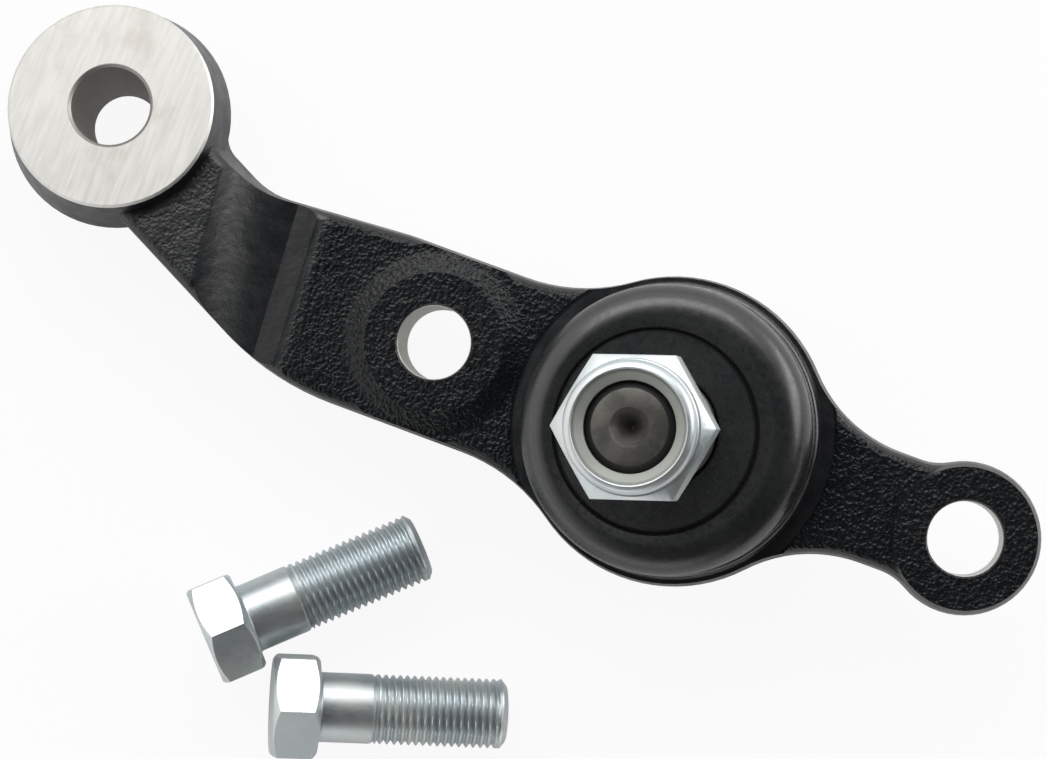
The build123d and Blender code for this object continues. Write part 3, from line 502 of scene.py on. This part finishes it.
def make_insert():
    bore = THREAD_R + THREAD_FIT
    top = NUT_HEIGHT - LIP_THICKNESS - INSERT_FIT
    floor = top - INSERT_HEIGHT
    rows = [(bore, floor), (INSERT_R, floor), (INSERT_R, top)]
    rows += arc((LIP_R - 0.35, top - 0.15), 0.15, 90, 100, 2)
    rows += [(LIP_R - 1.0, top - 0.45), (THREAD_R + 0.25, top - 0.75), (bore, top - 0.95)]
    insert = turned("insert_ring", rows, nut_place, nylon, segments=160, closed=True)
    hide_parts("nut_insert")
    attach(insert, "insert")
    return insert


make_nut()
make_insert()

# ---- ball stud --------------------------------------------------------------------------------
stud_place = place(ball_centre, stud_axis, swing_axis)


def make_stud():
    low = -degrees(atan2(BALL_FLAT, sqrt(BALL_R**2 - BALL_FLAT**2)))
    high = degrees(atan2(sqrt(BALL_R**2 - NECK_R**2), NECK_R))
    rows = [(0, -BALL_FLAT)]
    rows += arc((0, 0), BALL_R, low, high - 3, 36)
    rows += arc((NECK_R + 1.2, 10.55), 1.2, 232, 180, 5)
    rows += [(NECK_R, SEAT_START - 2.0)]
    rows += [(SEAT_R - 0.25, SEAT_START - 0.1), (SEAT_R, SEAT_START + 0.2), (SEAT_R, TAPER_START - 0.25)]
    rows += [(SEAT_R - 0.2, TAPER_START), (TAPER_LARGE_R, TAPER_START), (TAPER_SMALL_R, TAPER_END)]
    relief = THREAD_R - 0.9
    rows += [(relief, TAPER_END + 0.2), (relief, TAPER_END + 1.6), (THREAD_R - 0.1, TAPER_END + 2.4)]
    rows += thread_rows(THREAD_R, 0.82, 1.5, TAPER_END + 2.5, STUD_END - STUD_CHAMFER)
    rows += [(THREAD_R - STUD_CHAMFER, STUD_END - 0.06), (THREAD_R - STUD_CHAMFER - 0.12, STUD_END)]
    rows += [(CENTRE_DRILL_R + 0.12, STUD_END), (CENTRE_DRILL_R, STUD_END - 0.1)]
    rows += [(0.5, STUD_END - (CENTRE_DRILL_R - 0.5) * sqrt(3))]
    rows += [(0, STUD_END - CENTRE_DRILL_R * sqrt(3) + 0.4)]
    stud = turned("ball_stud_turned", rows, stud_place, stud_steel, segments=128)
    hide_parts("ball_stud")
    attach(stud, "stud")
    return stud


make_stud()

# ---- boot ---------------------------------------------------------------------------------------
BOOT_R = 24.0
COLLAR_R = 21.4
SHOULDER_Z = 14.4
RIM_Z = 17.0
BALL_Z = ball_centre.z / MM
ROLL_R = 19.15             # the rolled wall's middle line, and its height
ROLL_Z = 22.9
ROLL_OUTER = 4.95          # its radius outside and inside
ROLL_INNER = 2.9
DISC_R = 16.6
DISC_TOP = 18.0            # along the stud
DISC_DRAWN = 1.2           # the leaning stud draws the disc's edge this far to its side
WIRE_Z = 16.5
WIRE_GROOVE_R = 0.61
LEAN_START_Z = 18.0        # the wall takes up the stud's lean from here, over LEAN_HEIGHT
LEAN_HEIGHT = 7.0


def make_boot():
    """Rolled rubber wall that stands upright at its bead and leans with the stud at its disc."""
    upright = [(COLLAR_R + 0.3, RIM_Z + 0.2), (COLLAR_R + 0.3, SHOULDER_Z + 0.3)]
    upright += [(BOOT_R - 0.2, SHOULDER_Z + 0.3), (BOOT_R, SHOULDER_Z + 0.5)]
    upright += [(BOOT_R, WIRE_Z - WIRE_GROOVE_R)]
    upright += arc((BOOT_R, WIRE_Z), WIRE_GROOVE_R, 270, 90, 8)
    upright += [(BOOT_R, WIRE_Z + WIRE_GROOVE_R), (BOOT_R, 19.4)]
    upright += arc((BOOT_R - 0.4, 19.4), 0.4, 20, 90, 4)
    upright += [(BOOT_R - 0.55, 20.1)]
    outer = arc((ROLL_R, ROLL_Z), ROLL_OUTER, -32, 97, 40)
    roll = [(r, h) for r, h in outer if h > 20.4]
    roll_end_z = roll[-1][1]
    roll += [(DISC_R + 0.60, roll_end_z - 0.35), (DISC_R + 0.25, roll_end_z - 1.15)]
    disc_z = BALL_Z + DISC_TOP
    disc = [(DISC_R - 0.05, disc_z - 0.45), (DISC_R - 0.45, disc_z), (13.0, disc_z), (9.6, disc_z)]
    disc += [(9.3, disc_z - 0.3), (9.3, disc_z - 3.2), (9.9, disc_z - 3.9)]
    disc += [(13.5, disc_z - 3.6), (16.0, disc_z - 2.4)]
    back = arc((18.6, ROLL_Z), ROLL_INNER, 105, -10, 20) + [(21.9, 20.0)]
    rows = upright + roll + disc + back
    drawn = [max(0.0, 1 - abs(r - DISC_R) / 4.5) if h > 22 else 0.0 for r, h in rows]
    toward = (stud_axis - UP * stud_axis.z).normalized() * DISC_DRAWN * MM

    def warp(i, point):
        taken_up = min(max((rows[i][1] - LEAN_START_Z) / LEAN_HEIGHT, 0.0), 1.0)
        share = taken_up * taken_up * (3 - 2 * taken_up)
        point = Vector((point.x, point.y, point.z - ball_centre.z)) + toward * drawn[i]
        return ball_centre + Matrix.Rotation(stud_lean * share, 3, swing_axis) @ point

    boot = turned("dust_boot", rows, Matrix(), rubber, 192, closed=True, warp=warp, sharp=radians(40))
    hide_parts("boot")
    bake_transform(boot)
    return boot


make_boot()

# ---- mounting bolts ---------------------------------------------------------------------------
BOLT_R = 6.0
BOLT_FLATS = 17.0
BOLT_HEAD = 8.0
BOLT_LENGTH = 32.5
BOLT_SHANK = 9.7
BOLT_TIP = 1.3
BACK_Z = -8.5
HOUSING_TOUCH_X = -24.9
bench_along = Vector((bench_up.z, 0, -bench_up.x))
bench_across = Vector((0, 1, 0))
bench_origin = Vector((HOUSING_TOUCH_X, 0, BACK_Z)) * MM
BOLTS = {
    "mounting_bolt_a": ("bolt_a", (-15.0, -33.8), 43.1),
    "mounting_bolt_b": ("bolt_b", (8.8, -56.2), 17.3),
}


def make_bolt(node, body, tip, yaw):
    lift = atan((BOLT_FLATS / sqrt(3) - BOLT_R) / (BOLT_LENGTH - BOLT_TIP))
    heading = bench_along * cos(radians(yaw)) + bench_across * sin(radians(yaw))
    rise = BOLT_R * cos(lift) - BOLT_TIP * sin(lift)
    origin = bench_origin + (bench_along * tip[0] + bench_across * tip[1] + bench_up * rise) * MM
    axis = bench_up * sin(lift) - heading * cos(lift)
    matrix = place(origin, axis, bench_up)
    shank_start = BOLT_LENGTH - BOLT_SHANK
    rows = [(0, 0.0), (BOLT_R - 1.15, 0.0), (BOLT_R - 1.0, 0.06)]
    rows += thread_rows(BOLT_R, 0.68, 1.25, 0.9, shank_start - 0.3, fade=1.0)
    rows += [(BOLT_R - 0.45, shank_start), (BOLT_R - 0.05, shank_start + 0.5)]
    rows += [(BOLT_R, shank_start + 0.9), (BOLT_R, BOLT_LENGTH - 0.6)]
    rows += arc((BOLT_R + 0.5, BOLT_LENGTH - 0.5), 0.5, 180, 90, 4)
    rows += hexagon_rows(BOLT_FLATS, BOLT_LENGTH, BOLT_LENGTH + BOLT_HEAD)
    rows += [(0, BOLT_LENGTH + BOLT_HEAD)]
    bolt = turned(node + "_threaded", rows, matrix, zinc, segments=144)
    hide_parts(node)
    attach(bolt, body)
    return bolt


for node, (body, tip, yaw) in BOLTS.items():
    make_bolt(node, body, tip, yaw)

# ---- floor --------------------------------------------------------------------------------------
FLOOR_SHADOW = 0.08        # how much of the true shading the bench shows, the rest is plain white
FLOOR_MIRRORED = 0.22      # how white the bench is where metal mirrors it
FLOOR_REACH = 3.0          # metres from its middle to its sides


def make_floor():
    """The bench: a plain white sheet through the part's two resting edges."""
    n = Nodes("bench")
    n.set(Base_Color=grey(0.9), Roughness=0.9)
    glow = n.add("ShaderNodeEmission", Color=grey(1.0), Strength=1.0)
    path = n.add("ShaderNodeLightPath")
    mirrored = n.math("MULTIPLY", path.outputs["Is Glossy Ray"], FLOOR_MIRRORED)
    seen = n.math("MULTIPLY", path.outputs["Is Camera Ray"], 1.0 - FLOOR_SHADOW)
    share = n.math("MAXIMUM", seen, mirrored)
    both = n.add("ShaderNodeMixShader")
    output = n.tree.nodes["Material Output"]
    n.tree.links.new(share, both.inputs[0])
    n.tree.links.new(n.shader.outputs[0], both.inputs[1])
    n.tree.links.new(glow.outputs[0], both.inputs[2])
    n.tree.links.new(both.outputs[0], output.inputs["Surface"])
    reach = FLOOR_REACH
    mesh = bpy.data.meshes.new("bench")
    corners = [(-reach, -reach, 0), (reach, -reach, 0), (reach, reach, 0), (-reach, reach, 0)]
    mesh.from_pydata(corners, [], [(0, 1, 2, 3)])
    mesh.materials.append(n.material)
    floor = bpy.data.objects.new("bench", mesh)
    bpy.context.scene.collection.objects.link(floor)
    floor.matrix_world = place(bench_origin - bench_up * 0.05 * MM, bench_up, bench_along)


make_floor()

# ---- camera ---------------------------------------------------------------------------------------
PHOTO_WIDTH = 1047
FOCAL_PIXELS = 3200
SENSOR = 36.0
CAMERA_AT = Vector((23.84, -2.02, 550.77)) * MM
LOOK_TILT = radians(5.827)     # off straight down
LOOK_AZIMUTH = radians(178.56)
IMAGE_UP_TURN = radians(20.40)


def make_camera():
    data = bpy.data.cameras.new("camera")
    data.sensor_width = SENSOR
    data.lens = FOCAL_PIXELS / PHOTO_WIDTH * SENSOR
    data.clip_start = 0.01
    camera = bpy.data.objects.new("camera", data)
    bpy.context.scene.collection.objects.link(camera)
    sideways = Vector((cos(LOOK_AZIMUTH), sin(LOOK_AZIMUTH), 0))
    looking = sideways * sin(LOOK_TILT) - UP * cos(LOOK_TILT)
    image_up = Vector((-sin(IMAGE_UP_TURN), cos(IMAGE_UP_TURN), 0))
    image_up = (image_up - looking * looking.dot(image_up)).normalized()
    right = looking.cross(image_up)
    matrix = Matrix((right, image_up, -looking)).transposed().to_4x4()
    matrix.translation = CAMERA_AT
    camera.matrix_world = matrix
    bpy.context.scene.camera = camera
    return image_up, right


image_up, image_right = make_camera()

# ---- light ----------------------------------------------------------------------------------------
def make_panel(name, direction, distance, size, power):
    data = bpy.data.lights.new(name, "AREA")
    data.shape = "RECTANGLE"
    data.size, data.size_y = size
    data.energy = power
    lamp = bpy.data.objects.new(name, data)
    bpy.context.scene.collection.objects.link(lamp)
    direction = direction.normalized()
    lamp.matrix_world = place(direction * distance, direction, image_right)


make_panel("top_panel", UP * 0.75 + image_up * 0.85 - image_right * 0.1, 1.2, (1.3, 0.6), 7.2)
make_panel("side_panel", UP * 0.30 + image_up * 0.35 + image_right * 1.0, 1.3, (0.6, 1.3), 8.5)

TENT_DARK = 0.015
TENT_BRIGHT = 1.5


def make_world():
    """A white tent, brightest towards the top of the picture, open round the camera and at a side."""
    world = bpy.data.worlds.new("tent")
    bpy.context.scene.world = world
    world.use_nodes = True
    tree = world.node_tree
    n = Nodes.__new__(Nodes)
    n.tree = tree
    direction = n.add("ShaderNodeTexCoord").outputs["Generated"]
    back = image_right.cross(image_up)
    height = n.vector("DOT_PRODUCT", direction, tuple(back))
    hub = (UP - image_up * 0.06 + image_right * 0.12).normalized()
    away = n.ramp(n.vector("DOT_PRODUCT", direction, tuple(hub)), 0.993, 0.72, 0.0, 1.0)
    gap_side = (image_right * 0.85 - image_up * 0.53).normalized()
    gap = n.ramp(n.vector("DOT_PRODUCT", direction, tuple(gap_side)), 0.45, 0.85, 1.0, 0.05)
    towards_top = n.vector("DOT_PRODUCT", direction, tuple(image_up - image_right * 0.45))
    side = n.ramp(towards_top, -0.6, 0.7, 0.05, 0.75)
    near_floor = n.ramp(height, 0.65, 0.20, 0.0, 1.0)
    side = n.blend(near_floor, side, 1.0)
    lit = n.blend(n.math("MULTIPLY", n.math("MULTIPLY", away, side), gap), TENT_DARK, TENT_BRIGHT)
    path = n.add("ShaderNodeLightPath")
    seen = n.math("MAXIMUM", path.outputs["Is Camera Ray"], path.outputs["Is Transmission Ray"])
    tree.links.new(n.blend(seen, lit, 1.0), tree.nodes["Background"].inputs["Strength"])
    tree.nodes["Background"].inputs["Color"].default_value = grey(1.0)


make_world()

bpy.context.scene.view_settings.view_transform = "Standard"
